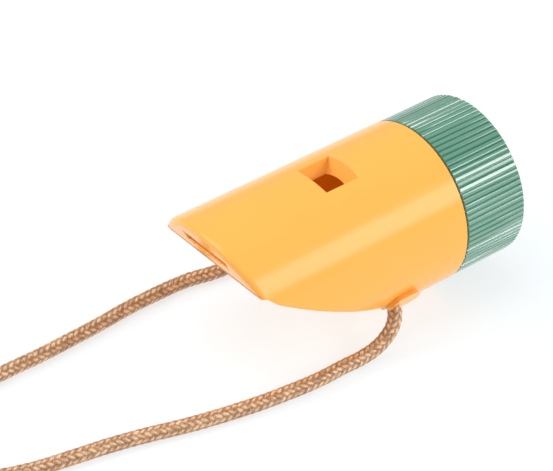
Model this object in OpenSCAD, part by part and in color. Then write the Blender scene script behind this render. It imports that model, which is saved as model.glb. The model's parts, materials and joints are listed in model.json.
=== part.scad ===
// Training whistle with a ribbed cap that sets its pitch.
// The barrel lies along X, with the mouth at -X and the cap at +X.
// The cap turns a lead screw, which slides a piston in the barrel's
// off-centre bore and so changes the length of the sounding chamber.
// The origin is on the ground, under the middle of the whistle.

/* [Barrel] */
// Outer diameter of the barrel
body_d = 28; // [26:0.5:34]
// Length of the barrel from its tip to the cap
body_l = 44; // [42:0.5:56]
// Height of the slanted tip face
tip_h = 7.5; // [7:0.1:9]
// Undercut angle of the tip face, from upright
tip_lean = 25; // [0:1:35]
// Rounding of the tip's upper edge
tip_round = 1; // [0.4:0.1:1.4]
// How far the belly bows out from a straight slope
belly_bow = 0.3; // [0:0.05:1]
// Length of the full round heel in front of the cap
heel_l = 7.6; // [6:0.1:9]

/* [Sounding chamber] */
// Diameter of the bore that the piston slides in
bore_d = 14.8; // [12:0.1:15.4]
// Distance from the end of the windway to the cap
chamber_l = 20.5; // [19.5:0.1:22]

/* [Window] */
// Length of the window's rim along the barrel
window_l = 7; // [6:0.1:8]
// Width of the window's rim
window_w = 7.8; // [6.5:0.1:9]
// Slope of the side walls, as the inset at the bore
window_inset = 0.85; // [0.2:0.05:1.2]
// Slope of the front wall, as the inset at the bore
window_front_inset = 0.8; // [0:0.05:1]
// Length of the sloped labium behind the window
ramp_l = 1.3; // [1:0.1:2.4]

/* [Windway] */
// Width of the blowing slot at the tip
mouth_w = 10.8; // [8:0.1:11.4]
// Height of the blowing slot at the tip
mouth_h = 1.8; // [1:0.1:2.4]
// Depth of the blowing slot's upper edge below the top of the barrel
mouth_drop = 3.4; // [2.8:0.1:4]
// Height of the windway where it meets the window
flue_h = 0.9; // [0.6:0.1:1.4]
// Width of the block that forms the windway's floor
block_w = 12.4; // [11.8:0.1:14]
// Thickness of the wall between the tip and the block
tip_wall = 6; // [4.5:0.1:8]

/* [Cord tunnel] */
// Height of the tunnel across the belly
tunnel_h = 3.2; // [3:0.1:3.6]
// Width of the tunnel along the barrel
tunnel_w = 5.4; // [5:0.1:7]
// Distance from the tunnel's middle to the cap
tunnel_to_cap = 12.3; // [11:0.1:13]
// Wall between the bore and the tunnel
tunnel_roof = 2.1; // [1.2:0.1:3]
// Wall around the front of the tunnel
tunnel_lug = 0.8; // [0.6:0.1:2]

/* [Collar] */
// Length of the plug inside the bore
plug_l = 4; // [3:0.1:4.4]
// Thickness of the collar's flange
flange_t = 1; // [0.8:0.1:1.4]
// Gap between the flange's rim and the cap's skirt
skirt_gap = 0.15; // [0.1:0.05:0.3]
// Radial depth of the cap's skirt outside the flange
skirt_t = 1.2; // [0.9:0.1:1.5]
// Thinnest wall of the plug, below the piston's hub
plug_wall = 0.75; // [0.6:0.05:0.8]
// Thickness of the floor at the bottom of the neck's hollow
neck_floor = 2.6; // [1.6:0.1:3]
// Thickness of the neck's wall
neck_wall = 2.2; // [2:0.1:2.6]
// Radius of the hub around the screw
hub_r = 4.6; // [4.4:0.1:5]
// Depth of the recess for the piston's hub, behind the barrel's rear face
hub_recess_l = 1.2; // [0.6:0.1:1.6]

/* [Cap] */
// Length of the cap
cap_l = 12.5; // [12:0.1:16]
// How far the cap's ribs lie below the barrel's surface
cap_step = 0.06; // [0:0.01:0.3]
// Thickness of the cap's wall, ribs included
cap_wall = 3.08; // [2.8:0.1:3.6]
// Number of ribs
rib_count = 90; // [60:1:110]
// Height of a rib
rib_h = 0.35; // [0.2:0.05:0.5]
// Share of a rib's pitch that its flat crest takes
rib_crest = 0.68; // [0.4:0.02:0.8]
// Share of a rib's pitch that the flat of the groove takes
rib_floor = 0.04; // [0.02:0.01:0.2]
// Gap between the barrel and the cap
cap_gap = 0.25; // [0.15:0.05:0.5]
// Chamfer at the cap's rear rim
cap_chamfer = 0.3; // [0.2:0.1:1]
// Thickness of the cap's end wall, with the screw's head inside it
cap_end_t = 3.3; // [3.3:0.1:4]
// Diameter of the end disc
disc_d = 18; // [14:0.5:20]
// Thickness of the end disc
disc_t = 0.9; // [0.6:0.1:1.2]
// How far the end disc lies inside the rim
disc_recess = 0.1; // [0:0.05:0.4]

/* [Screw and piston] */
// Outer diameter of the lead screw
screw_d = 3; // [2.4:0.1:3.4]
// Distance that one turn of the cap moves the piston
screw_lead = 2.4; // [1.5:0.1:2.4]
// Width of the screw's hexagonal head, corner to corner
head_d = 5.2; // [4.6:0.1:6.6]
// Thickness of the screw's head
head_t = 1.2; // [0.8:0.1:1.3]
// Thickness of the piston
piston_t = 4; // [3.4:0.1:4]
// Distance from the piston's face to the cap, at mid travel
piston_to_cap = 11.2; // [10.8:0.1:11.6]
// Wall of the piston's threaded hub
hub_wall = 0.75; // [0.6:0.05:0.9]
// Length of the piston's threaded hub
piston_hub_l = 5; // [4.4:0.1:5.6]
// Thickness of the piston's front wall before the thread
piston_front = 0.8; // [0.6:0.1:1.2]

/* [Small parts] */
// Thickness of the friction ring's section
friction_ring_d = 1.4; // [1:0.1:1.6]
// Distance from the barrel's rear face to the friction ring's middle
friction_place = 3.1; // [2.6:0.1:3.4]
// Thickness of the piston seal's section
seal_d = 1.2; // [0.8:0.1:1.3]
// Thickness of the retaining ring
ring_t = 0.9; // [0.6:0.1:1.2]
// Radial width of the retaining ring
ring_w = 1.5; // [1.2:0.1:1.5]
// Gap between the retaining ring's two ends
ring_split = 4; // [3:0.5:6]
// Distance from the barrel's rear face to the retaining ring
ring_place = 6.4; // [6:0.1:6.8]
// Depth of the retaining ring in the cap's wall
ring_bite = 0.54; // [0.4:0.02:0.6]
// Thickness of the thrust washer
washer_t = 0.5; // [0.3:0.05:0.6]
// Outer diameter of the thrust washer
washer_d = 8.4; // [6:0.2:9]
// Shank diameter of a collar screw
fixing_d = 1.8; // [1.4:0.1:2]
// Head diameter of a collar screw
fixing_head_d = 3; // [2.4:0.1:3.2]
// Thickness of a collar screw's head
fixing_head_t = 1; // [0.6:0.1:1.2]
// Length of a collar screw inside the barrel
fixing_grip = 5; // [3:0.5:6]
// Angle of a collar screw from straight down
fixing_a = 40; // [35:1:45]

/* [Cord] */
// Diameter of the braided cord
cord_d = 2.5; // [2:0.1:2.7]
// Radius of the coil's inner column of turns
coil_r = 12.7; // [12:0.1:14]
// Layers of turns in the coil
coil_layers = 4; // [3:1:5]
// Thickness of the two ties
tie_t = 0.3; // [0.2:0.05:0.4]
// Width of the two ties
tie_w = 4; // [3:0.5:6]
// Radius of the knot
knot_r = 4.5; // [4:0.1:5]

/* [Fits] */
// Radial clearance of a running fit
run_gap = 0.06; // [0.03:0.01:0.1]
// Clearance of a glued or pressed seat
seat_gap = 0.03; // [0.02:0.01:0.05]
// Gap between turns of the cord
turn_gap = 0.1; // [0.05:0.05:0.2]
// Clearance around the piston's hub in the collar
hub_gap = 0.25; // [0.15:0.05:0.3]
// Clearance at the screw's tip at the end of its travel
tip_gap = 0.2; // [0.1:0.05:0.3]
// Side clearance of the retaining ring in the collar
ring_side_gap = 0.05; // [0.03:0.01:0.1]
// Clearance of the retaining ring in the cap
ring_cap_gap = 0.25; // [0.15:0.05:0.3]

/* [Hidden] */
$fn = 96;
// Added to a cut so that it runs clear of a face
eps = 1;

// Places along X
tip_x = -(body_l + cap_l) / 2;
seam_x = tip_x + body_l;
rear_x = seam_x + cap_l;
flue_x = seam_x - chamber_l;
piston_x = seam_x - piston_to_cap;
tunnel_x = seam_x - tunnel_to_cap;
window_x = flue_x - window_front_inset;

// Heights above the ground
body_r = body_d / 2;
axis_z = body_r;
bore_r = bore_d / 2;
screw_r = screw_d / 2;
screw_hole_r = screw_r + run_gap;
piston_hub_r = screw_hole_r + hub_wall;
hub_recess_r = piston_hub_r + hub_gap;
bore_z = axis_z + bore_r - hub_recess_r - plug_wall;
bore_top = bore_z + bore_r;
tunnel_r = tunnel_h / 2;
tunnel_z = bore_z - bore_r - tunnel_roof - tunnel_r;
tip_low_z = body_d - tip_h;
mouth_top = body_d - mouth_drop;
flue_top = bore_top - seat_gap;

// Side outline of the barrel
tip_c = [tip_x + tip_round, body_d - tip_round];
tip_start = on_circle(tip_c, tip_round, 180 + tip_lean);
tip_low = [
    tip_start[0] + (tip_start[1] - tip_low_z) * tan(tip_lean),
    tip_low_z
];
nose_c = [tunnel_x - tunnel_w / 2 + tunnel_r, tunnel_z];
nose_r = tunnel_r + tunnel_lug;
heel = [seam_x - heel_l, 0];
heel_v = heel - nose_c;
// Start and end of the round nose in front of the tunnel
nose_a0 = 185;
nose_a1 = 360 + atan2(heel_v[1], heel_v[0]) - acos(nose_r / norm(heel_v));
nose_top = on_circle(nose_c, nose_r, nose_a0);
belly_steps = 8;

// Cap and collar
cap_r = body_r - cap_step;
cap_bore_r = cap_r - cap_wall;
neck_r = cap_bore_r - run_gap;
flange_r = cap_r - rib_h - skirt_t;
cap_inner_x = rear_x - cap_end_t;
neck_l = cap_inner_x - seam_x - washer_t - 2 * run_gap;
disc_x = rear_x - disc_recess - disc_t;
head_x = disc_x - head_t - run_gap;
friction_x = seam_x + friction_place;
friction_groove_r = neck_r + run_gap / 2 - friction_ring_d;
ring_x = seam_x + ring_place;
ring_out_r = cap_bore_r + ring_bite;
ring_groove_r = neck_r - ring_w;
fixing_r = (hub_r + neck_r - neck_wall) / 2;

// Piston
piston_r = bore_r - run_gap;
seal_groove_r = bore_r - run_gap / 2 - seal_d;
seal_x = piston_x + piston_t / 2;
screw_tip_x = piston_x + piston_front + screw_lead + tip_gap;
hub_end_x = piston_x + piston_t + piston_hub_l;

// Cord
cord_r = cord_d / 2;
turn_pitch = cord_d + turn_gap;
coil_c = [-100, -5.5];
coil_in_r = coil_r - turn_pitch / 2;
coil_out_r = coil_r + 1.5 * turn_pitch;
coil_low = tie_t + turn_gap;
coil_h = coil_layers * turn_pitch;
tie_angles = [125, 215];
tie_span = tie_w / coil_out_r * 180 / PI;
knot_c = [-73.5, -20.5, knot_r];
// Length, dip below level and spread of the knot's two cut ends
stub_l = knot_r + 4.8;
stub_dip = 20;
stub_spread = 12;
cord_sides = 8;
near_route = [
    [3.4, 0, 7], [3.3, -3, 7], [3.1, -6.5, 7],
    [2.7, -9.6, 6.95], [2.2, -11.6, 6.6], [1.4, -13, 5.5],
    [0.2, -13.9, 4.2], [-1.6, -14.3, 2.9], [-3.9, -14.4, 1.9],
    [-6.6, -14.3, 1.4], [-10, -14.1, 1.3], [-15, -14.1, 1.3],
    [-20, -13.6, 1.3], [-26, -12.7, 1.3], [-32, -11.4, 1.3],
    [-38, -9.8, 1.3], [-44, -7.8, 1.3], [-50, -6.1, 1.3],
    [-56, -4.8, 1.3], [-62, -3.4, 1.3], [-68, -1.1, 1.3],
    [-74, 2, 1.3], [-80, 4.9, 1.4], [-85, 6.7, 1.6],
    [-89.2, 7.2, 1.7]
];
far_route = [
    [3.4, 0, 7], [3.4, 3, 7], [3, 8, 7],
    [2.5, 11.4, 7], [2.1, 13.4, 6.9], [1.2, 15, 6.3],
    [-0.3, 16.1, 5.2], [-2.4, 16.8, 3.8], [-4.8, 17.1, 2.5],
    [-7.6, 17.4, 1.6], [-11, 18, 1.3], [-16, 19.1, 1.3],
    [-22, 19.4, 1.3], [-28, 19.3, 1.3], [-34, 18.8, 1.3],
    [-40, 18.5, 1.3], [-46, 18.3, 1.3], [-52, 18.4, 1.3],
    [-58, 18.2, 1.3], [-64, 17.2, 1.3], [-70, 15.2, 1.3],
    [-76, 12.8, 1.3], [-82, 10.9, 1.4], [-88, 10, 1.6],
    [-93.4, 9.8, 1.7]
];
near_tail = [
    [-89.2, -18.2, 9.5], [-86.4, -18.2, 8.8], [-84, -18.3, 7.1],
    [-82, -18.6, 5.2], [-80, -18.9, 4], [-77.6, -19.1, 3.6]
];
far_tail = [
    [-93.4, -20.8, 9.5], [-89, -20.9, 9.2], [-85.6, -21.2, 7.7],
    [-83, -21.5, 5.6], [-80.6, -21.8, 4.1], [-77.6, -21.9, 3.6]
];

// ---- helpers -------------------------------------------------------

// Point on a circle
function on_circle(c, r, a) = [c[0] + r * cos(a), c[1] + r * sin(a)];

// Points of an arc
function arc(c, r, a0, a1, n) =
    [for (i = [0:n]) on_circle(c, r, a0 + (a1 - a0) * i / n)];

// Points between two others, bowed out to the right of the way
function bowed(p, q, bow, n) =
    let (v = q - p, side = [v[1], -v[0]] / norm(v))
    [for (i = [1:n - 1]) let (t = i / n)
        p + v * t - side * bow * 4 * t * (1 - t)];

// Cylinder along X from x0 to x1
module rod(x0, x1, r, z = axis_z, fn = $fn) {
    translate([x0, 0, z])
        rotate([0, 90, 0])
            cylinder(r = r, h = x1 - x0, $fn = fn);
}

// Outline in X and Z, extruded evenly to both sides of Y = 0
module side_extrude(width) {
    rotate([90, 0, 0])
        linear_extrude(width, center = true)
            children();
}

// Ring around X with a round section
module o_ring(x, r, section_r, z = axis_z) {
    translate([x, 0, z])
        rotate([0, 90, 0])
            rotate_extrude()
                translate([r, 0])
                    circle(section_r);
}

// Unit vector along v
function unit(v) = v / norm(v);

// Direction of a route at point i
function heading(route, i) =
    let (n = len(route) - 1)
    unit(route[min(i + 1, n)] - route[max(i - 1, 0)]);

// Ring of points around point i of a route
function cord_ring(route, i) =
    let (
        t = heading(route, i),
        side = unit(cross(t, [0, 0, 1])),
        up = cross(side, t)
    )
    [for (k = [0:cord_sides - 1]) let (a = (k + 0.5) * 360 / cord_sides)
        route[i] + cord_r * (cos(a) * side + sin(a) * up)];

// Tube along a route
module cord_tube(route) {
    n = len(route);
    s = cord_sides;
    points = [for (i = [0:n - 1]) each cord_ring(route, i)];
    walls = [for (i = [0:n - 2], k = [0:s - 1])
        [i * s + k, i * s + (k + 1) % s,
            (i + 1) * s + (k + 1) % s, (i + 1) * s + k]];
    first = [for (k = [s - 1:-1:0]) k];
    last = [for (k = [0:s - 1]) (n - 1) * s + k];
    polyhedron(points, concat(walls, [first, last]), convexity = 8);
}

// ---- barrel --------------------------------------------------------

// Side outline of the barrel, from the tip along the belly to the heel
module barrel_outline() {
    polygon(concat(
        arc(tip_c, tip_round, 90, 180 + tip_lean, 8),
        [tip_low],
        bowed(tip_low, nose_top, belly_bow, belly_steps),
        arc(nose_c, nose_r, nose_a0, nose_a1, 8),
        [heel, [seam_x, 0], [seam_x, body_d]]
    ));
}

// Barrel with no holes
module barrel_blank() {
    intersection() {
        rod(tip_x, seam_x, body_r);
        side_extrude(body_d + eps)
            barrel_outline();
    }
}

// Window with sloped walls and the labium's ramp
module window_cut() {
    top = body_d + eps;
    rise = (top - bore_top) / (body_d - bore_top);
    deep = bore_top - bore_r / 2;
    half_in = window_w / 2 - window_inset;
    half_out = half_in + window_inset * rise;
    ramp_x = window_x + window_l - ramp_l;
    intersection() {
        side_extrude(body_d)
            polygon([
                [flue_x, deep], [flue_x, bore_top],
                [flue_x - window_front_inset * rise, top],
                [ramp_x + ramp_l * rise, top],
                [ramp_x, bore_top], [ramp_x, deep]
            ]);
        translate([tip_x, 0, 0])
            rotate([90, 0, 90])
                linear_extrude(body_l)
                    polygon([
                        [-half_in, deep], [half_in, deep],
                        [half_in, bore_top], [half_out, top],
                        [-half_out, top], [-half_in, bore_top]
                    ]);
    }
}

// Height of the windway's floor at x
function floor_z(x) =
    let (t = (x - tip_x) / (flue_x - tip_x))
    (mouth_top - mouth_h) * (1 - t) + (flue_top - flue_h) * t;

// Tapered air channel from the tip to the window
module windway_cut() {
    flue_w = window_w - 2 * window_inset;
    intersection() {
        side_extrude(body_d)
            polygon([
                [tip_x - eps, floor_z(tip_x - eps)],
                [flue_x + eps, floor_z(flue_x + eps)],
                [flue_x + eps, flue_top], [tip_x - eps, mouth_top]
            ]);
        linear_extrude(body_d)
            polygon([
                [tip_x - eps, -mouth_w / 2], [flue_x, -flue_w / 2],
                [flue_x + eps, -flue_w / 2], [flue_x + eps, flue_w / 2],
                [flue_x, flue_w / 2], [tip_x - eps, mouth_w / 2]
            ]);
    }
}

// Space under the windway, open to the belly
module block_space(gap) {
    x0 = tip_x + tip_wall + gap;
    side_extrude(block_w - 2 * gap)
        polygon([
            [x0, -eps], [flue_x, -eps],
            [flue_x, floor_z(flue_x)], [x0, floor_z(x0)]
        ]);
}

// Slot with round ends across the belly
module cord_tunnel() {
    for (side = [-1, 1])
        translate([tunnel_x + side * (tunnel_w / 2 - tunnel_r), 0, tunnel_z])
            rotate([90, 0, 0])
                cylinder(r = tunnel_r, h = body_d + eps, center = true);
    translate([tunnel_x, 0, tunnel_z])
        cube([tunnel_w - tunnel_h, body_d + eps, tunnel_h], center = true);
}

// Places of the two collar screws, low in the barrel's rear wall
module at_fixings() {
    for (side = [-1, 1])
        translate([0, side * fixing_r * sin(fixing_a), axis_z - fixing_r * cos(fixing_a)])
            children();
}

module barrel() {
    color([1, 0.76, 0.37])
        difference() {
            barrel_blank();
            rod(flue_x, seam_x + eps, bore_r, bore_z);
            window_cut();
            windway_cut();
            block_space(0);
            cord_tunnel();
            at_fixings()
                rod(seam_x - fixing_grip, seam_x + eps, fixing_d / 2 + seat_gap, 0);
        }
}

module windway_block() {
    color([1, 0.76, 0.37])
        intersection() {
            barrel_blank();
            block_space(seat_gap);
        }
}

// ---- collar and its small parts --------------------------------------

module rear_collar() {
    hollow_r = neck_r - neck_wall;
    color([0.93, 0.92, 0.88])
        difference() {
            union() {
                rod(seam_x - plug_l, seam_x + flange_t / 2, bore_r - seat_gap, bore_z);
                rod(seam_x, seam_x + flange_t, flange_r);
                rod(seam_x, seam_x + neck_l, neck_r);
            }
            difference() {
                rod(seam_x + neck_floor, seam_x + neck_l + eps, hollow_r);
                rod(seam_x, seam_x + neck_l + 2 * eps, hub_r);
            }
            rod(seam_x - plug_l - eps, seam_x + hub_recess_l, hub_recess_r);
            rod(seam_x, seam_x + neck_l + eps, screw_hole_r);
            groove(friction_x, friction_ring_d, friction_groove_r);
            groove(ring_x + ring_t / 2, ring_t + 2 * ring_side_gap, ring_groove_r);
            at_fixings()
                rod(seam_x - eps, seam_x + neck_floor + eps, fixing_d / 2 + seat_gap, 0);
        }
}

// Groove around the collar's neck
module groove(x, width, floor_r) {
    difference() {
        rod(x - width / 2, x + width / 2, neck_r + eps);
        rod(x - width, x + width, floor_r);
    }
}

module collar_screws() {
    color([0.72, 0.73, 0.75])
        at_fixings()
            union() {
                rod(seam_x - fixing_grip + run_gap, seam_x + neck_floor, fixing_d / 2, 0);
                rod(seam_x + neck_floor, seam_x + neck_floor + fixing_head_t, fixing_head_d / 2, 0);
            }
}

module friction_ring() {
    section_r = friction_ring_d / 2;
    color([0.13, 0.13, 0.14])
        o_ring(friction_x, friction_groove_r + section_r, section_r);
}

module retaining_ring() {
    color([0.72, 0.73, 0.75])
        difference() {
            rod(ring_x, ring_x + ring_t, ring_out_r);
            rod(ring_x - eps, ring_x + ring_t + eps, ring_out_r - ring_w);
            translate([ring_x - eps, -ring_split / 2, axis_z])
                cube([ring_t + 2 * eps, ring_split, body_r]);
        }
}

module thrust_washer() {
    color([0.72, 0.73, 0.75])
        difference() {
            rod(seam_x + neck_l + run_gap, seam_x + neck_l + run_gap + washer_t, washer_d / 2);
            rod(seam_x, rear_x, screw_hole_r);
        }
}

// ---- cap and screw -----------------------------------------------------

// Star outline of the ribs
module rib_outline() {
    pitch = 360 / rib_count;
    groove_r = cap_r - rib_h;
    rib = [
        [rib_floor / 2, groove_r], [(1 - rib_crest) / 2, cap_r],
        [(1 + rib_crest) / 2, cap_r], [1 - rib_floor / 2, groove_r]
    ];
    polygon([for (i = [0:rib_count - 1], p = rib)
        on_circle([0, 0], p[1], (i + p[0] - 0.5) * pitch)]);
}

module tuning_cap() {
    front_x = seam_x + cap_gap;
    skirt_x = seam_x + flange_t + cap_gap;
    color([0.41, 0.66, 0.56])
        difference() {
            intersection() {
                translate([front_x, 0, axis_z])
                    rotate([0, 90, 0])
                        linear_extrude(rear_x - front_x)
                            rib_outline();
                translate([rear_x, 0, axis_z])
                    rotate([0, -90, 0])
                        cylinder(
                            r1 = cap_r - cap_chamfer,
                            r2 = cap_r - cap_chamfer + cap_l,
                            h = cap_l
                        );
            }
            rod(seam_x, skirt_x, flange_r + skirt_gap);
            rod(seam_x, cap_inner_x, cap_bore_r);
            rod(ring_x - ring_cap_gap, ring_x + ring_t + ring_cap_gap, ring_out_r + ring_cap_gap);
            rod(seam_x, rear_x, screw_hole_r);
            rod(head_x, rear_x, head_d / 2 + seat_gap, axis_z, 6);
            rod(disc_x - seat_gap, rear_x + eps, disc_d / 2 + seat_gap);
        }
}

module cap_end_disc() {
    color([0.41, 0.66, 0.56])
        rod(disc_x, disc_x + disc_t, disc_d / 2);
}

module lead_screw() {
    color([0.72, 0.73, 0.75])
        union() {
            rod(screw_tip_x, head_x + head_t / 2, screw_r);
            rod(head_x + seat_gap, head_x + head_t, head_d / 2, axis_z, 6);
        }
}

// ---- piston --------------------------------------------------------------

module piston() {
    color([0.93, 0.92, 0.88])
        difference() {
            union() {
                rod(piston_x, piston_x + piston_t, piston_r, bore_z);
                rod(piston_x + piston_t / 2, hub_end_x, piston_hub_r);
            }
            rod(piston_x + piston_front, hub_end_x + eps, screw_hole_r);
            difference() {
                rod(seal_x - seal_d / 2, seal_x + seal_d / 2, bore_r, bore_z);
                rod(seal_x - seal_d, seal_x + seal_d, seal_groove_r, bore_z);
            }
        }
}

module piston_seal() {
    color([0.13, 0.13, 0.14])
        o_ring(seal_x, seal_groove_r + seal_d / 2, seal_d / 2, bore_z);
}

// ---- cord ------------------------------------------------------------------

module cord_near() {
    color([0.67, 0.47, 0.31]) {
        cord_tube(near_route);
        cord_tube(near_tail);
    }
}

module cord_far() {
    color([0.67, 0.47, 0.31]) {
        cord_tube(far_route);
        cord_tube(far_tail);
    }
}

// Outer shape of the wound turns
module cord_coil() {
    color([0.67, 0.47, 0.31])
        translate([coil_c[0], coil_c[1], coil_low])
            rotate_extrude()
                translate([coil_in_r, 0])
                    square([coil_out_r - coil_in_r, coil_h]);
}

// Two flat bands around the coil's turns
module coil_ties() {
    gap = turn_gap / 2;
    inner = [coil_out_r - coil_in_r + 2 * gap, coil_h + 2 * gap];
    color([0.25, 0.25, 0.27])
        for (a = tie_angles)
            translate([coil_c[0], coil_c[1], coil_low - gap])
                rotate([0, 0, a])
                    rotate_extrude(angle = tie_span)
                        translate([coil_in_r - gap, 0])
                            difference() {
                                translate([-tie_t, -tie_t])
                                    square([inner[0] + 2 * tie_t, inner[1] + 2 * tie_t]);
                                square(inner);
                            }
}

// Knot that joins both strands, with its two cut ends
module cord_knot() {
    color([0.67, 0.47, 0.31])
        translate(knot_c)
            union() {
                sphere(knot_r, $fn = 48);
                for (side = [-1, 1])
                    translate([0, side * cord_r, 0])
                        rotate([0, 90 + stub_dip, side * stub_spread])
                            cylinder(r = cord_r, h = stub_l, $fn = 32);
            }
}

barrel();
windway_block();
rear_collar();
collar_screws();
friction_ring();
retaining_ring();
thrust_washer();
tuning_cap();
cap_end_disc();
lead_screw();
piston();
piston_seal();
cord_near();
cord_far();
cord_coil();
coil_ties();
cord_knot();
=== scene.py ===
"""Looks of a training whistle with a ribbed tuning cap and a braided neck cord.

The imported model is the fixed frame. This script adds a studio, the braided cord with its coil,
ties and knot, a modelled barrel, block, cap and end disc, and a finish for every piece.
Everything is in metres, in the frame's axes: +X from the mouth to the cap and +Z up.
"""

from __future__ import annotations

import json
import logging
import math
from collections.abc import Callable, Iterable, Sequence
from dataclasses import dataclass
from enum import Enum

import bpy
import numpy as np
from mathutils import Matrix, Vector


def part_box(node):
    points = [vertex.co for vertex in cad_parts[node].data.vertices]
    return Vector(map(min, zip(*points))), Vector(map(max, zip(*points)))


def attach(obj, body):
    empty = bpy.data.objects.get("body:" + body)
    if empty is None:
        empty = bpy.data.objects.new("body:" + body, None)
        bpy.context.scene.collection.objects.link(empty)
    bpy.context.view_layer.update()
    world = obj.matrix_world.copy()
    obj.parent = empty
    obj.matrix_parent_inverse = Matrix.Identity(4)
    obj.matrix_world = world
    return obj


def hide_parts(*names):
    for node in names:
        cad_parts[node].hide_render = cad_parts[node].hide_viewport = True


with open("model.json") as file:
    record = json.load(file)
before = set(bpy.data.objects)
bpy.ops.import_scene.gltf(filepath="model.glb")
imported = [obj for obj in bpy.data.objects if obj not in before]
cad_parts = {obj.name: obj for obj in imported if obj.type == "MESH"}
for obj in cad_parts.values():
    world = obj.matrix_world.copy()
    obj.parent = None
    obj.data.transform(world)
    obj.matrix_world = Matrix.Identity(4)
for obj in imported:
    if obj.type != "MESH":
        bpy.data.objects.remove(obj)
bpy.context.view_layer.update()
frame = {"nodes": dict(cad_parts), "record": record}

MM = 0.001
log = logging.getLogger("whistle")

Point = tuple[float, float, float]
Color = tuple[float, float, float]
Face = bpy.types.MeshPolygon
Piece = bpy.types.Object
Socket = bpy.types.NodeSocket
Material = bpy.types.Material


class Body(Enum):
    """Bodies of the frame that new pieces ride on."""

    WHISTLE = "whistle"
    CAP = "cap"


class Slot(Enum):
    """Material slots that new pieces take."""

    YELLOW = "yellow_plastic"
    GREEN = "green_plastic"
    TIE = "tie_rubber"
    CORD = "cord"


class Cut(Enum):
    """Ways to combine a piece with a cutter."""

    TAKE_AWAY = "DIFFERENCE"
    KEEP_COMMON = "INTERSECT"


# ---- finishes ----


class Surface:
    """A node material under construction, around one Principled shader."""

    def __init__(self, name: str) -> None:
        """Start an empty material with a shader and an output."""
        self.material = bpy.data.materials.new(name)
        self.material.use_nodes = True
        self.tree = self.material.node_tree
        self.shader = self.tree.nodes["Principled BSDF"]

    def node(self, kind: str, inputs: dict[str | int, object] | None = None,
             **settings: object) -> bpy.types.Node:
        """Add a node.

        Args:
            kind: Blender's name of the node type.
            inputs: Socket values, or sockets to link from, by input name or number.
            settings: The node's own properties.

        Returns:
            The new node.
        """
        made = self.tree.nodes.new(kind)
        for key, value in settings.items():
            setattr(made, key, value)
        for key, value in (inputs or {}).items():
            self.feed(made.inputs[key], value)
        return made

    def feed(self, socket: Socket, value: object) -> None:
        """Link a socket to another, or set its value."""
        if isinstance(value, Socket):
            self.tree.links.new(value, socket)
        else:
            socket.default_value = value

    def set(self, **values: object) -> None:
        """Feed the shader's inputs, named with underscores for spaces."""
        for key, value in values.items():
            self.feed(self.shader.inputs[key.replace("_", " ")], value)

    def place(self) -> Socket:
        """Return the place of a point in its object."""
        return self.node("ShaderNodeTexCoord").outputs["Object"]

    def add(self, first: Socket, second: Socket) -> Socket:
        """Return the sum of two values."""
        made = self.node("ShaderNodeMath", {0: first, 1: second}, operation="ADD")
        return made.outputs[0]

    def noise(self, vector: Socket, scale: float,
              detail: float = 3.0) -> Socket:
        """Return a noise value over a vector, at a scale in cells per metre."""
        sizes = {"Vector": vector, "Scale": scale, "Detail": detail}
        return self.node("ShaderNodeTexNoise", sizes).outputs["Fac"]

    def between(self, value: Socket, low: float, high: float,
                first: float = 0.3, last: float = 0.7) -> Socket:
        """Return value mapped from first..last to low..high."""
        sizes = {"Value": value, "From Min": first, "From Max": last, "To Min": low, "To Max": high}
        return self.node("ShaderNodeMapRange", sizes).outputs["Result"]

    def ramp(self, value: Socket,
             stops: Sequence[tuple[float, Color]]) -> Socket:
        """Return a colour picked along stops of position and colour."""
        made = self.node("ShaderNodeValToRGB", {"Fac": value})
        elements = made.color_ramp.elements
        while len(elements) < len(stops):
            elements.new(0.5)
        for element, (place, color) in zip(elements, stops):
            element.position = place
            element.color = (*color, 1.0)
        return made.outputs["Color"]

    def bump(self, height: Socket, distance: float) -> Socket:
        """Return a normal from a height, where a height of 1 stands distance high."""
        sizes = {"Height": height, "Distance": distance, "Strength": 1.0}
        return self.node("ShaderNodeBump", sizes).outputs["Normal"]


@dataclass(frozen=True)
class MouldedPlastic:
    """A moulded plastic with faint flow marks, a fine skin and, where painted_glow is above 0, a painted
    orange glow.
    """

    name: str
    color: Color
    shade: Color
    roughness: float
    coat: float
    specular: float = 0.5
    glow: float = 0.0
    painted_glow: float = 0.0
    marks_per_m: float = 90.0
    skin_per_m: float = 2600.0
    skin_m: float = 0.0000008

    def material(self) -> Material:
        """Build the material."""
        s = Surface(self.name)
        place = s.place()
        marks = s.noise(place, self.marks_per_m)
        skin = s.noise(place, self.skin_per_m, 2.0)
        low, high = self.roughness * 0.85, self.roughness * 1.2
        s.set(Base_Color=s.ramp(marks, [(0.3, self.shade), (0.7, self.color)]),
              Roughness=s.between(skin, low, high), Normal=s.bump(skin, self.skin_m))
        s.set(Coat_Weight=self.coat, Coat_Roughness=self.roughness * 0.6)
        s.set(Specular_IOR_Level=self.specular, Subsurface_Weight=self.glow)
        s.set(Subsurface_Scale=1.5 * MM, Subsurface_Radius=(1.0, 0.55, 0.2))
        # Painted glow: an orange emission of strength painted_glow makes the plastic shine with its own
        # light.
        s.set(Emission_Color=(1.0, 0.36, 0.0, 1.0), Emission_Strength=self.painted_glow)
        return s.material


@dataclass(frozen=True)
class TurnedSteel:
    """Steel with fine turning marks around X."""

    name: str = "turned_steel"
    color: Color = (0.60, 0.61, 0.63)
    shade: Color = (0.42, 0.43, 0.45)
    rings_per_m: float = 5000.0

    def material(self) -> Material:
        """Build the material."""
        s = Surface(self.name)
        place = s.place()
        stretched = s.node("ShaderNodeMapping", {"Vector": place, "Scale": (1.0, 0.05, 0.05)})
        rings = s.noise(stretched.outputs["Vector"], self.rings_per_m)
        s.set(Base_Color=s.ramp(rings, [(0.3, self.shade), (0.7, self.color)]),
              Roughness=s.between(rings, 0.25, 0.42), Normal=s.bump(rings, 0.000008))
        s.set(Metallic=1.0)
        return s.material


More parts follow.
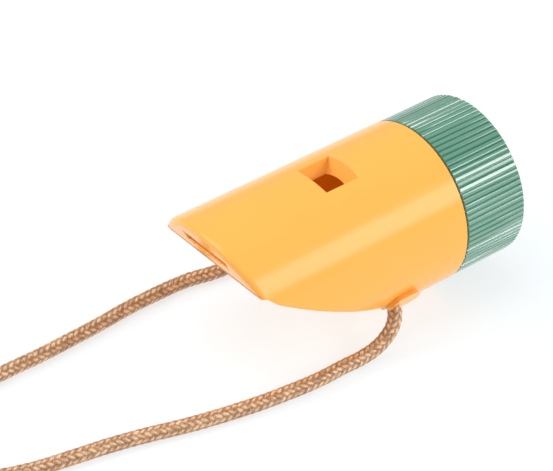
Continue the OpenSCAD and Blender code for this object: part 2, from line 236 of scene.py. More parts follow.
@dataclass(frozen=True)
class SoftRubber:
    """A matt rubber with a fine grain."""

    name: str
    color: Color
    shade: Color
    grain_per_m: float = 3500.0

    def material(self) -> Material:
        """Build the material."""
        s = Surface(self.name)
        place = s.place()
        grain = s.noise(place, self.grain_per_m, 4.0)
        s.set(Base_Color=s.ramp(grain, [(0.3, self.shade), (0.7, self.color)]),
              Roughness=s.between(grain, 0.55, 0.75), Normal=s.bump(grain, 0.00002))
        s.set(Sheen_Weight=0.15)
        return s.material


@dataclass(frozen=True)
class BraidedYarn:
    """Glossy yarn, with fibres that follow each strand, painted shade in the gaps between strands and a
    painted highlight on the strands' crowns.

    It reads the braid's own attribute: across the strand, along it, and the height.
    """

    name: str = "braided_yarn"
    # Colours along the braid's height: gap is painted shade deep between the strands, low and high shade
    # up the strands' sides, and tip is a painted highlight on their crowns.
    gap: Color = (0.110, 0.038, 0.010)
    low: Color = (0.300, 0.130, 0.045)
    high: Color = (0.520, 0.265, 0.118)
    tip: Color = (0.860, 0.560, 0.330)
    roughness: float = 0.30
    fibres_across: float = 7.0

    def material(self) -> Material:
        """Build the material."""
        s = Surface(self.name)
        yarn = s.node("ShaderNodeAttribute", attribute_name=Braid.ATTRIBUTE).outputs["Vector"]
        height = s.node("ShaderNodeSeparateXYZ", {"Vector": yarn}).outputs["Z"]
        scale = (self.fibres_across, 0.55, 0.0)
        along = s.node("ShaderNodeMapping", {"Vector": yarn, "Scale": scale}).outputs["Vector"]
        fibres = s.noise(along, 1.0, 3.0)
        place = s.place()
        patches = s.between(s.noise(place, 900.0, 2.0), -0.16, 0.16)
        # The colour follows the height, as painted shade in the gaps and a painted highlight on the
        # crowns; fibres and patches add random tone.
        tone_and_painted_shade = s.add(s.add(height, s.between(fibres, -0.22, 0.22)), patches)
        stops = [(0.22, self.gap), (0.52, self.low), (0.82, self.high), (1.0, self.tip)]
        s.set(Base_Color=s.ramp(tone_and_painted_shade, stops),
              Roughness=s.between(fibres, self.roughness * 0.8, self.roughness * 1.3),
              Normal=s.bump(fibres, 0.00007))
        s.set(Specular_IOR_Level=1.0, Sheen_Weight=0.05, Sheen_Roughness=0.4)
        return s.material


class Paint:
    """Every finish of the whistle, made once."""

    def __init__(self) -> None:
        """Make the materials."""
        self.yellow = MouldedPlastic("glossy_yellow", (1.0, 0.455, 0.088), (0.985, 0.442, 0.083),
                                     0.19, 0.0, specular=0.30, glow=0.04).material()
        # The bore's copy of the yellow: a little darker for painted shade inside the barrel, and with a
        # painted glow.
        self.bore = MouldedPlastic("yellow_in_the_bore_painted_shade_and_glow", (0.95, 0.44, 0.07), (0.90, 0.40, 0.06),
                                   0.5, 0.0, specular=0.2, painted_glow=0.07).material()
        # The piston's amber plastic, with a painted glow.
        self.amber = MouldedPlastic("amber_plastic", (0.90, 0.42, 0.06), (0.84, 0.38, 0.05),
                                    0.45, 0.0, specular=0.2, painted_glow=0.07).material()
        self.green = MouldedPlastic("satin_green", (0.095, 0.285, 0.190), (0.088, 0.265, 0.176),
                                    0.17, 1.0, specular=1.0).material()
        self.natural = MouldedPlastic("natural_plastic", (0.80, 0.78, 0.70), (0.74, 0.72, 0.64),
                                      0.45, 0.0).material()
        self.steel = TurnedSteel().material()
        self.seal = SoftRubber("seal_rubber", (0.030, 0.030, 0.032), (0.018, 0.018, 0.020)).material()
        self.tie = SoftRubber("tie_rubber", (0.060, 0.060, 0.066), (0.040, 0.040, 0.044)).material()
        self.yarn = BraidedYarn().material()


# ---- modelling helpers ----


class Workbench:
    """Modelling by operators, one piece at a time."""

    @staticmethod
    def deselect() -> None:
        """Deselect every object."""
        bpy.ops.object.select_all(action="DESELECT")

    @staticmethod
    def pick(piece: Piece) -> None:
        """Make a piece the only selected and active one."""
        Workbench.deselect()
        piece.select_set(True)
        bpy.context.view_layer.objects.active = piece

    @staticmethod
    def settle(name: str) -> Piece:
        """Name the active object and put its place, turn and scale in its mesh."""
        piece = bpy.context.active_object
        piece.name = name
        piece.data.name = name
        Workbench.pick(piece)
        bpy.ops.object.transform_apply(location=True, rotation=True, scale=True)
        return piece

    @staticmethod
    def cylinder(name: str, start: float, end: float, radius: float, z: float,
                 sides: int) -> Piece:
        """Add a cylinder along X.

        Args:
            name: The object's name.
            start: Its lower end along X.
            end: Its upper end along X.
            radius: Its radius.
            z: The height of its axis.
            sides: The number of its sides.

        Returns:
            The new object, with its place in its mesh.
        """
        Workbench.deselect()
        bpy.ops.mesh.primitive_cylinder_add(vertices=sides, radius=radius, depth=end - start,
                                            location=((start + end) / 2, 0, z),
                                            rotation=(0, math.pi / 2, 0))
        return Workbench.settle(name)

    @staticmethod
    def block(name: str, low: Point, high: Point) -> Piece:
        """Add a box between two corners."""
        Workbench.deselect()
        middle = [(a + b) / 2 for a, b in zip(low, high)]
        bpy.ops.mesh.primitive_cube_add(size=1, location=middle,
                                        scale=[b - a for a, b in zip(low, high)])
        return Workbench.settle(name)

    @staticmethod
    def loft(name: str, rings: Sequence[Sequence[Point]]) -> Piece:
        """Extrude a many-sided face through rings of points.

        Args:
            name: The object's name.
            rings: Closed rings with the same number of points, from one end to the other.

        Returns:
            The new closed object.
        """
        Workbench.deselect()
        bpy.ops.mesh.primitive_circle_add(vertices=len(rings[0]), fill_type="NGON")
        piece = Workbench.settle(name)
        Workbench.mode("EDIT", "FACE")
        bpy.ops.mesh.select_all(action="SELECT")
        Workbench.mode("OBJECT")
        for number, ring in enumerate(rings):
            if number:
                Workbench.mode("EDIT")
                Workbench.extrude()
            face = next(f for f in piece.data.polygons if f.select)
            for index, place in zip(face.vertices, ring):
                piece.data.vertices[index].co = place
        Workbench.mode("EDIT")
        Workbench.face_outwards()
        return piece

    @staticmethod
    def true_normals(piece: Piece, radius: float, z: float, gap: float,
                     facing: float = 0.85) -> None:
        """Shade the parts of a piece that lie on a cylinder along X as that cylinder."""
        mesh = piece.data
        normals = [Vector(corner.vector) for corner in mesh.corner_normals]
        for loop in mesh.loops:
            place = mesh.vertices[loop.vertex_index].co
            out = Vector((0.0, place.y, place.z - z))
            length, out = out.length, out.normalized()
            if abs(length - radius) < gap and normals[loop.index].dot(out) > facing:
                normals[loop.index] = out
        mesh.normals_split_custom_set(normals)

    @staticmethod
    def mode(name: str, kind: str | None = None) -> None:
        """Enter edit or object mode, and pick what edit mode selects."""
        bpy.ops.object.mode_set(mode=name)
        if kind:
            bpy.ops.mesh.select_mode(type=kind)

    @staticmethod
    def extrude() -> None:
        """Extrude what is selected in edit mode, in place, and go to object mode."""
        bpy.ops.mesh.extrude_region_move(TRANSFORM_OT_translate={"value": (0, 0, 0)})
        Workbench.mode("OBJECT")

    @staticmethod
    def face_outwards() -> None:
        """Turn every face outwards, from edit mode, and leave it."""
        bpy.ops.mesh.select_all(action="SELECT")
        bpy.ops.mesh.normals_make_consistent(inside=False)
        Workbench.mode("OBJECT")

    @staticmethod
    def select_faces(piece: Piece, wanted: Callable[[Face], bool]) -> None:
        """Enter edit mode with only the wanted faces selected."""
        Workbench.pick(piece)
        Workbench.mode("EDIT", "FACE")
        bpy.ops.mesh.select_all(action="DESELECT")
        Workbench.mode("OBJECT")
        for face in piece.data.polygons:
            face.select = wanted(face)
        Workbench.mode("EDIT")

    @staticmethod
    def modify(piece: Piece, kind: str, **settings: object) -> None:
        """Add a modifier with settings and apply it."""
        Workbench.pick(piece)
        made = piece.modifiers.new(kind.lower(), kind)
        for key, value in settings.items():
            setattr(made, key, value)
        bpy.ops.object.modifier_apply(modifier=made.name)

    @staticmethod
    def combine(piece: Piece, cutter: Piece, way: Cut) -> None:
        """Cut a piece with a cutter, which is used up."""
        Workbench.modify(piece, "BOOLEAN", object=cutter, operation=way.value, solver="EXACT")
        bpy.data.objects.remove(cutter)

    @staticmethod
    def round_edges(piece: Piece, width: float, segments: int,
                    share: Callable[[Vector, Vector, float], float]) -> None:
        """Round the edges that have a share above 0.

        Args:
            piece: The piece.
            width: The rounding of an edge whose share is 1.
            segments: The steps of the rounding.
            share: The share of an edge, from its two ends and the angle between its faces.
        """
        mesh = piece.data
        angles = Workbench.edge_angles(mesh)
        weights = mesh.attributes.get("bevel_weight_edge")
        if weights is None:
            weights = mesh.attributes.new("bevel_weight_edge", "FLOAT", "EDGE")
        for edge in mesh.edges:
            a, b = (mesh.vertices[i].co for i in edge.vertices)
            weights.data[edge.index].value = share(a, b, angles[edge.index])
        Workbench.modify(piece, "BEVEL", width=width, segments=segments, limit_method="WEIGHT",
                         use_clamp_overlap=False, harden_normals=False, loop_slide=False)
        left = piece.data.attributes.get("bevel_weight_edge")
        if left is not None:
            piece.data.attributes.remove(left)

    @staticmethod
    def edge_angles(mesh: bpy.types.Mesh) -> list[float]:
        """Return the angle between the two faces of each edge, in degrees."""
        normals: list[list[Vector]] = [[] for _ in mesh.edges]
        for face in mesh.polygons:
            for loop in face.loop_indices:
                normals[mesh.loops[loop].edge_index].append(face.normal)
        return [math.degrees(n[0].angle(n[1], 0.0)) if len(n) == 2 else 0.0 for n in normals]

    @staticmethod
    def clean(piece: Piece, gap: float = 0.000004) -> None:
        """Merge doubled points and drop loose ones."""
        Workbench.pick(piece)
        Workbench.mode("EDIT")
        bpy.ops.mesh.select_all(action="SELECT")
        bpy.ops.mesh.remove_doubles(threshold=gap)
        bpy.ops.mesh.delete_loose()
        Workbench.mode("OBJECT")

    @staticmethod
    def smooth(piece: Piece, degrees: float = 32.0) -> None:
        """Shade smooth between faces that meet under an angle, led by the larger faces."""
        Workbench.pick(piece)
        bpy.ops.object.shade_smooth_by_angle(angle=math.radians(degrees))
        Workbench.modify(piece, "WEIGHTED_NORMAL", keep_sharp=True, weight=80)

    @staticmethod
    def finish(piece: Piece, body: Body, slot: Slot, *paints: Material) -> None:
        """Dress a new piece and let it ride on its body."""
        piece.data.materials.clear()
        for paint in paints:
            piece.data.materials.append(paint)
        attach(piece, body.value)
        log.info("%s: %d faces, on %s", piece.name, len(piece.data.polygons), body.value)


# ---- studio ----


@dataclass(frozen=True)
class Softbox:
    """A rectangular light that looks at the middle of the scene."""

    name: str
    direction: Point
    distance: float
    size: tuple[float, float]
    watts: float

    def place(self, target: Vector) -> None:
        """Put the light at its distance from a target, facing it."""
        data = bpy.data.lights.new(self.name, "AREA")
        data.shape = "RECTANGLE"
        data.size, data.size_y = self.size
        data.energy = self.watts
        light = bpy.data.objects.new(self.name, data)
        bpy.context.scene.collection.objects.link(light)
        away = Vector(self.direction).normalized()
        light.rotation_euler = away.to_track_quat("Z", "Y").to_euler()
        light.location = target + away * self.distance


@dataclass
class Studio:
    """Camera, floor and lights."""

    lens_mm: float = 172.0
    eye: Point = (-0.2193, -0.2582, 0.2703)
    right: Point = (0.7804, -0.6253, 0.0)
    up: Point = (0.3772, 0.4706, 0.7977)
    floor_half: float = 6.0
    floor_color: Color = (0.26, 0.29, 0.31)
    floor_glow: float = 0.71
    sky: float = 0.52

    def build(self) -> None:
        """Make the whole studio."""
        self.camera()
        self.floor()
        self.world()
        middle = Vector((0.0, 0.0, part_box("barrel")[1].z / 2))
        boxes = [
            Softbox("overhead", (-0.15, 0.20, 1.0), 0.9, (0.6, 0.6), 3.2),
            Softbox("flank", (0.499, -0.697, 0.40), 0.6, (0.60, 0.22), 2.1),
            Softbox("rear_left", (-0.62, 0.60, 0.52), 0.7, (0.5, 0.16), 2.2),
        ]
        for box in boxes:
            box.place(middle)

    def camera(self) -> None:
        """Make the camera."""
        data = bpy.data.cameras.new("camera")
        data.lens = self.lens_mm
        data.clip_start = 0.01
        camera = bpy.data.objects.new("camera", data)
        bpy.context.scene.collection.objects.link(camera)
        right, up = Vector(self.right), Vector(self.up)
        axes = Matrix((right, up, right.cross(up))).transposed()
        camera.rotation_euler = axes.to_euler()
        camera.location = self.eye
        bpy.context.scene.camera = camera

    def floor(self) -> None:
        """Make the pale floor."""
        Workbench.deselect()
        bpy.ops.mesh.primitive_plane_add(size=2 * self.floor_half)
        plane = Workbench.settle("floor")
        s = Surface("pale_floor")
        place = s.place()
        cloud = s.noise(place, 8.0)
        pale = tuple(c * 0.985 for c in self.floor_color)
        s.set(Base_Color=s.ramp(cloud, [(0.3, pale), (0.7, self.floor_color)]), Roughness=0.7)
        s.set(Specular_IOR_Level=0.1, Emission_Color=(1.0, 1.0, 1.0, 1.0))
        s.set(Emission_Strength=self.floor_glow)
        plane.data.materials.append(s.material)

    def world(self) -> None:
        """Make the even white surroundings, shown without a film curve."""
        world = bpy.data.worlds.new("surroundings")
        world.use_nodes = True
        sky = world.node_tree.nodes["Background"]
        sky.inputs["Color"].default_value = (0.97, 0.985, 1.0, 1.0)
        sky.inputs["Strength"].default_value = self.sky
        scene = bpy.context.scene
        scene.world = world
        scene.view_settings.view_transform = "Standard"
        scene.view_settings.look = "None"


# ---- cord ----


class Line:
    """A smooth line through points, resampled at even steps."""

    def __init__(self, points: Sequence[Sequence[float]], step: float) -> None:
        """Run a smooth curve through points, with a point every step."""
        fine = self.curve(np.array(points, float))
        along = np.concatenate([[0.0], np.cumsum(np.linalg.norm(np.diff(fine, axis=0), axis=1))])
        self.length = float(along[-1])
        count = max(8, round(self.length / step))
        self.at = np.linspace(0.0, self.length, count + 1)
        self.points = np.stack([np.interp(self.at, along, fine[:, k]) for k in range(3)], axis=1)
        self.tangents = self.unit(np.gradient(self.points, axis=0))
        self.sides, self.ups = self.carried_axes()

    @staticmethod
    def unit(vectors: np.ndarray) -> np.ndarray:
        """Return vectors at length 1."""
        return vectors / np.linalg.norm(vectors, axis=1, keepdims=True)

    @staticmethod
    def curve(points: np.ndarray, parts: int = 24) -> np.ndarray:
        """Return points of a smooth curve, with a number of parts in each stretch."""
        span = np.linalg.norm(np.diff(points, axis=0), axis=1)
        at = np.concatenate([[0.0], np.cumsum(span)])
        slopes = np.gradient(points, at, axis=0)
        share = np.linspace(0.0, 1.0, parts, endpoint=False)[:, None]
        s2, s3 = share**2, share**3
        rows = []
        for i, gap in enumerate(span):
            rows.append((2 * s3 - 3 * s2 + 1) * points[i] + (3 * s2 - 2 * s3) * points[i + 1]
                        + gap * ((s3 - 2 * s2 + share) * slopes[i] + (s3 - s2) * slopes[i + 1]))
        return np.concatenate([*rows, points[-1:]])

    def carried_axes(self) -> tuple[np.ndarray, np.ndarray]:
        """Return two axes across the line that don't twist around it."""
        sides, ups = np.zeros_like(self.points), np.zeros_like(self.points)
        side = np.cross(self.tangents[0], (0.0, 0.0, 1.0))
        for i, tangent in enumerate(self.tangents):
            side = side - tangent * (side @ tangent)
            side = side / np.linalg.norm(side)
            sides[i], ups[i] = side, np.cross(side, tangent)
        return sides, ups


@dataclass
class Braid:
    """A round braid of eight strands, four each way, as a tube around a line."""

    ATTRIBUTE = "yarn"

    diameter: float = 2.5 * MM
    stitch: float = 1.15 * MM
    relief: float = 0.42 * MM
    strands_each_way: int = 4
    around: int = 40
    slant: float = 0.6
    cross: float = 0.45
    crown_half: float = 0.53
    yarn_shift: float = 7.3
    other_way: float = 5.0
    end_share: float = 0.4
    end_inset: float = 0.92

    def heights(self, turn: np.ndarray, at: np.ndarray) -> tuple[np.ndarray, np.ndarray, np.ndarray]:
        """Return the surface's height from 0 to 1, and where each point is on its strand.

        Args:
            turn: The angle of each point around the cord.
            at: How far along the cord each point is.

        Returns:
            The height, the place across the strand and the place along it.
        """
        n = self.strands_each_way
        bent = turn + self.slant * np.sin(2 * n * turn) / (2 * n)
        over = np.cos(n * turn)
        found = []
        for way in (1.0, -1.0):
            phase = way * n * bent / (2 * np.pi) + at / self.stitch
            across = phase - np.floor(phase) - 0.5
            crown = np.sqrt(np.clip(1.0 - (across / self.crown_half) ** 2, 0.0, 1.0))
            along = at / self.stitch - way * n * bent / (2 * np.pi) + self.yarn_shift * np.floor(phase)
            found.append((crown + self.cross * way * over, across, along))
        first = found[0][0] >= found[1][0]
        height = np.where(first, found[0][0], found[1][0]) / (1.0 + self.cross)
        across = np.where(first, found[0][1], found[1][1] + self.other_way)
        along = np.where(first, found[0][2], found[1][2])
        return np.clip(height, 0.0, 1.0), across, along

    def arrays(self, line: Line, squeeze: float, caps: tuple[bool, bool]) -> dict[str, np.ndarray]:
        """Return the tube's points, faces, yarn places and UVs around a line.

        Args:
            line: The centreline.
            squeeze: A share of the full radius.
            caps: Whether each end is a rounded, sealed end.

        Returns:
            Arrays named points, faces, ends, yarn and uv.
        """
        rings, n = len(line.points), self.around
        turn = np.linspace(0.0, 2 * np.pi, n, endpoint=False)[None, :]
        height, across, along = self.heights(turn + 0 * line.at[:, None], line.at[:, None] + 0 * turn)
        radius = (self.diameter / 2 - self.relief * (1.0 - height)) * squeeze
        for sealed, away in zip(caps, (line.at, line.length - line.at)):
            if sealed:
                inset = np.clip(1.0 - away / (self.diameter * self.end_share), 0.0, 1.0)
                radius = radius * np.sqrt(1.0 - self.end_inset * inset**2)[:, None]
        ring = (np.cos(turn)[..., None] * line.sides[:, None, :]
                + np.sin(turn)[..., None] * line.ups[:, None, :])
        points = line.points[:, None, :] + radius[..., None] * ring
        i = np.arange(rings - 1)[:, None] * n
        k, after = np.arange(n)[None, :], (np.arange(n)[None, :] + 1) % n
        faces = np.stack([i + k, i + after, i + n + after, i + n + k], axis=-1).reshape(-1, 4)
        yarn = np.stack([across, along, height], axis=-1)
        u = np.stack([k, k + 1, k + 1, k], axis=-1) / n + 0.0 * i[..., None]
        v = line.at[np.stack([i // n, i // n, i // n + 1, i // n + 1], axis=-1)] + 0.0 * u
        return {"points": points.reshape(-1, 3), "faces": faces, "yarn": yarn.reshape(-1, 3),
                "uv": np.stack([u, v * 100], axis=-1).reshape(-1, 2)}

    def tube(self, name: str, lines: Sequence[Line], squeeze: float = 1.0,
             caps: Sequence[tuple[bool, bool]] | None = None) -> Piece:
        """Make one object with a braided tube around each line.

        Args:
            name: The object's name.
            lines: The centrelines.
            squeeze: A share of the full radius.
            caps: For each line, whether each end is rounded and sealed.

        Returns:
            The new object.
        """
        points, faces, yarn, uv = [], [], [], []
        used = 0
        for line, sealed in zip(lines, caps or [(False, False)] * len(lines)):
            made = self.arrays(line, squeeze, sealed)
            points.append(made["points"])
            faces += (made["faces"] + used).tolist()
            faces += [list(range(used + self.around - 1, used - 1, -1)),
                      list(range(used + len(made["points"]) - self.around,
                                 used + len(made["points"])))]
            yarn.append(made["yarn"])
            uv += [made["uv"], np.zeros((2 * self.around, 2))]
            used += len(made["points"])
        mesh = bpy.data.meshes.new(name)
        mesh.from_pydata(np.concatenate(points).tolist(), [], faces)
        layer = mesh.uv_layers.new(name="around_and_along")
        layer.data.foreach_set("uv", np.concatenate(uv).astype(np.float32).ravel())
        stored = mesh.attributes.new(self.ATTRIBUTE, "FLOAT_VECTOR", "POINT")
        stored.data.foreach_set("vector", np.concatenate(yarn).astype(np.float32).ravel())
        mesh.shade_smooth()
        mesh.update()
        piece = bpy.data.objects.new(name, mesh)
        bpy.context.scene.collection.objects.link(piece)
        return piece


def cord_hole() -> Vector:
    """Return the place of the cord's hole in the barrel."""
    mounts = frame["record"]["mounts"]
    return Vector(next(mount for mount in mounts if mount["name"] == "cord_hole")["pos_m"])


class Strand(Enum):
    """The cord's two strands, on the near and far side of the whistle."""

    NEAR = "near"
    FAR = "far"


@dataclass
class NeckCord:
    """Both strands of the neck cord, wound together into one coil, with ties and a knot."""

    braid: Braid
    paint: Paint
    step: float = 0.22 * MM
    turns: float = 3.5
    rise_from: float = 0.60
    rise_to: float = 0.85
    points_each_turn: int = 48
    routes = {
        Strand.NEAR: [
            (3.4, 0, 7), (3.3, -3, 7), (3.1, -6.5, 7), (2.7, -9.6, 6.95), (2.2, -11.6, 6.6),
            (1.4, -13, 5.5), (0.2, -13.9, 4.2), (-1.6, -14.3, 2.9), (-3.9, -14.4, 1.9),
            (-6.6, -14.3, 1.4), (-10, -14.1, 1.3), (-15, -14.1, 1.3), (-20, -13.6, 1.3),
            (-26, -12.7, 1.3), (-32, -11.4, 1.3), (-38, -9.8, 1.3), (-44, -7.8, 1.3),
            (-50, -6.1, 1.3), (-56, -4.8, 1.3), (-62, -3.4, 1.3), (-68, -1.1, 1.3), (-74, 2, 1.3),
            (-80, 4.9, 1.4), (-85, 6.7, 1.6), (-89.2, 7.2, 1.7),
        ],
        Strand.FAR: [
            (3.4, 0, 7), (3.4, 3, 7), (3, 8, 7), (2.5, 11.4, 7), (2.1, 13.4, 6.9), (1.2, 15, 6.3),
            (-0.3, 16.1, 5.2), (-2.4, 16.8, 3.8), (-4.8, 17.1, 2.5), (-7.6, 17.4, 1.6),
            (-11, 18, 1.3), (-16, 19.1, 1.3), (-22, 19.4, 1.3), (-28, 19.3, 1.3), (-34, 18.8, 1.3),
            (-40, 18.5, 1.3), (-46, 18.3, 1.3), (-52, 18.4, 1.3), (-58, 18.2, 1.3),
            (-64, 17.2, 1.3), (-70, 15.2, 1.3), (-76, 12.8, 1.3), (-82, 10.9, 1.4), (-88, 10, 1.6),
            (-93.4, 9.8, 1.7),
        ],
    }
    tails = {
        Strand.NEAR: [
            (-89.2, -18.2, 9.5), (-86.4, -18.2, 8.8), (-84, -18.3, 7.1), (-82, -18.6, 5.2),
            (-80, -18.9, 4), (-77.6, -19.1, 3.6),
        ],
        Strand.FAR: [
            (-93.4, -20.8, 9.5), (-89, -20.9, 9.2), (-85.6, -21.2, 7.7), (-83, -21.5, 5.6),
            (-80.6, -21.8, 4.1), (-77.6, -21.9, 3.6),
        ],
    }

    def __post_init__(self) -> None:
        """Read the coil's place and size from its CAD solid."""
        low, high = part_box("cord_coil")
        self.middle = (low + high) / 2
        self.outer = (high.x - low.x) / 2
        self.layer = (high.z - low.z) / (self.turns + 0.5)
        self.low = low.z + self.layer / 2

    def radius(self, strand: Strand) -> float:
        """Return the radius of a strand's turns: the far strand winds outside the near one."""
        return self.outer - self.layer * (0.5 if strand is Strand.FAR else 1.5)

    def winding(self, strand: Strand) -> list[Point]:
        """Return the points of a strand's turns, which step up one layer in each turn."""
        radius = self.radius(strand)
        points = []
        for i in range(int(self.turns * self.points_each_turn) + 1):
            turn = i / self.points_each_turn
            share = (turn % 1 - self.rise_from) / (self.rise_to - self.rise_from)
            share = min(max(share, 0.0), 1.0)
            level = math.floor(turn) + share * share * (3 - 2 * share)
            angle = math.pi / 2 + 2 * math.pi * turn
            points.append((self.middle.x + radius * math.cos(angle),
                           self.middle.y + radius * math.sin(angle),
                           self.low + level * self.layer))
        return points

    def line(self, strand: Strand) -> Line:
        """Return a strand's whole centreline, from the middle of the tunnel to the knot."""
        route = [tuple(c * MM for c in p) for p in self.routes[strand]]
        tail = [tuple(c * MM for c in p) for p in self.tails[strand]]
        return Line([*route, *self.winding(strand), *tail], self.step)

    def build(self) -> None:
        knot = Knot(self.braid).build(self.paint)
        ties = Ties(self).build(self.paint)
        low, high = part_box("barrel")
        for strand, side, nodes in ((Strand.NEAR, low.y, ("cord_near", "cord_coil")),
                                    (Strand.FAR, high.y, ("cord_far",))):
            line = self.line(strand)
            piece = self.braid.tube(f"braided_cord_{strand.value}", [line])
            Workbench.finish(piece, Body.WHISTLE, Slot.CORD, self.paint.yarn)
            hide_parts(*nodes)


@dataclass
class Knot:
    """A wrapped knot that joins both strands, with two sealed ends."""

    braid: Braid
    wraps: float = 3.0
    squeeze: float = 0.90
    step: float = 0.22 * MM
    height: float = 1.48
    core: float = 0.36
    wrap: float = 0.98
    reach: float = 0.48
    turned_in: float = 0.09
    wrap_points: int = 60

    def build(self, paint: Paint) -> Piece:
        """Make the knot where its CAD solid is."""
        low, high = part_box("cord_knot")
        cord = self.braid.diameter
        y = (low.y + high.y) / 2
        z = self.height * cord
        x = low.x + (high.z - low.z) / 2
        inner, outer = self.core * cord, self.wrap * cord
        half = self.wraps * cord * self.reach
        lines = []
        for side in (1, -1):
            places = [(x - half - 0.6 * MM, 1.4 * MM, z), (x - half + 1.4 * MM, inner, z), (x, inner, z),
                      (x + half - 0.6 * MM, inner, z),
                      (x + half + 1.8 * MM, inner + 0.7 * MM, z - 0.7 * MM),
                      (x + half + 3.6 * MM, inner + 1.7 * MM, cord * 0.62),
                      (high.x - 0.4 * MM, inner + 2.6 * MM, cord * 0.52)]
            lines.append(Line([(px, y + side * py, pz) for px, py, pz in places], self.step))
        lines.append(Line(self.wrapping(x, y, z, half, inner, outer), self.step))
        piece = self.braid.tube("cord_knot_tied", lines, self.squeeze,
                                [(False, True), (False, True), (True, True)])
        Workbench.finish(piece, Body.WHISTLE, Slot.CORD, paint.yarn)
        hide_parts("cord_knot")
        return piece

    def wrapping(self, x: float, y: float, z: float, half: float, inner: float,
                 outer: float) -> list[Point]:
        """Return the points of the wraps, whose two ends turn in under them."""
        points = []
        for i in range(self.wrap_points + 1):
            share = i / self.wrap_points
            edge = min(1.0, min(share, 1 - share) / self.turned_in)
            radius = inner + (outer - inner) * edge * edge * (3 - 2 * edge)
            angle = 2 * math.pi * self.wraps * share + 0.4
            points.append((x - half * 0.72 + 1.44 * half * share,
                           y + radius * math.cos(angle), z + radius * math.sin(angle)))
        return points


@dataclass
class Ties:
    """Flat bands around the coil's stacked turns."""

    cord: NeckCord
    angles: tuple[float, float] = (125.0, 215.0)
    width: float = 4.0 * MM
    thick: float = 0.3 * MM
    corner: float = 1.1 * MM
    corner_steps: int = 6
    edge_round: float = 0.08 * MM
    edge_angle: float = 0.9

    def build(self, paint: Paint) -> list[Piece]:
        """Make one band for each angle, all around the stack."""
        low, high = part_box("coil_ties")
        cord = self.cord
        span = self.width / cord.outer
        made = []
        for number, angle in enumerate(self.angles, start=1):
            inner = cord.outer - 2 * cord.layer
            band = Workbench.block(f"coil_tie_{number}", (inner, -self.width / 2, low.z + self.thick),
                                   (cord.outer, self.width / 2, high.z - self.thick))
            self.open_ends(band)
            Workbench.modify(band, "SOLIDIFY", thickness=self.thick, offset=1.0,
                             use_even_offset=True)
            Workbench.modify(band, "BEVEL", width=self.edge_round, segments=2,
                             angle_limit=self.edge_angle)
            turn = Matrix.Rotation(math.radians(angle) + span / 2, 4, "Z")
            middle = Vector((cord.middle.x, cord.middle.y, 0.0))
            band.data.transform(Matrix.Translation(middle) @ turn)
            Workbench.smooth(band)
            Workbench.finish(band, Body.WHISTLE, Slot.TIE, paint.tie)
            made.append(band)
        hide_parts("coil_ties")
        return made

    def open_ends(self, band: Piece) -> None:
        """Open a block at its two ends along the turns and round its four long corners."""
        Workbench.select_faces(band, lambda face: abs(face.normal.y) > 0.9)
        bpy.ops.mesh.delete(type="FACE")
        bpy.ops.mesh.select_mode(type="EDGE")
        bpy.ops.mesh.select_all(action="DESELECT")
        Workbench.mode("OBJECT")
        for edge in band.data.edges:
            a, b = (band.data.vertices[i].co for i in edge.vertices)
            edge.select = abs(a.y - b.y) > self.width / 2
        Workbench.mode("EDIT")
        bpy.ops.mesh.bevel(offset=self.corner, segments=self.corner_steps, affect="EDGES")
        Workbench.mode("OBJECT")


# ---- barrel ----


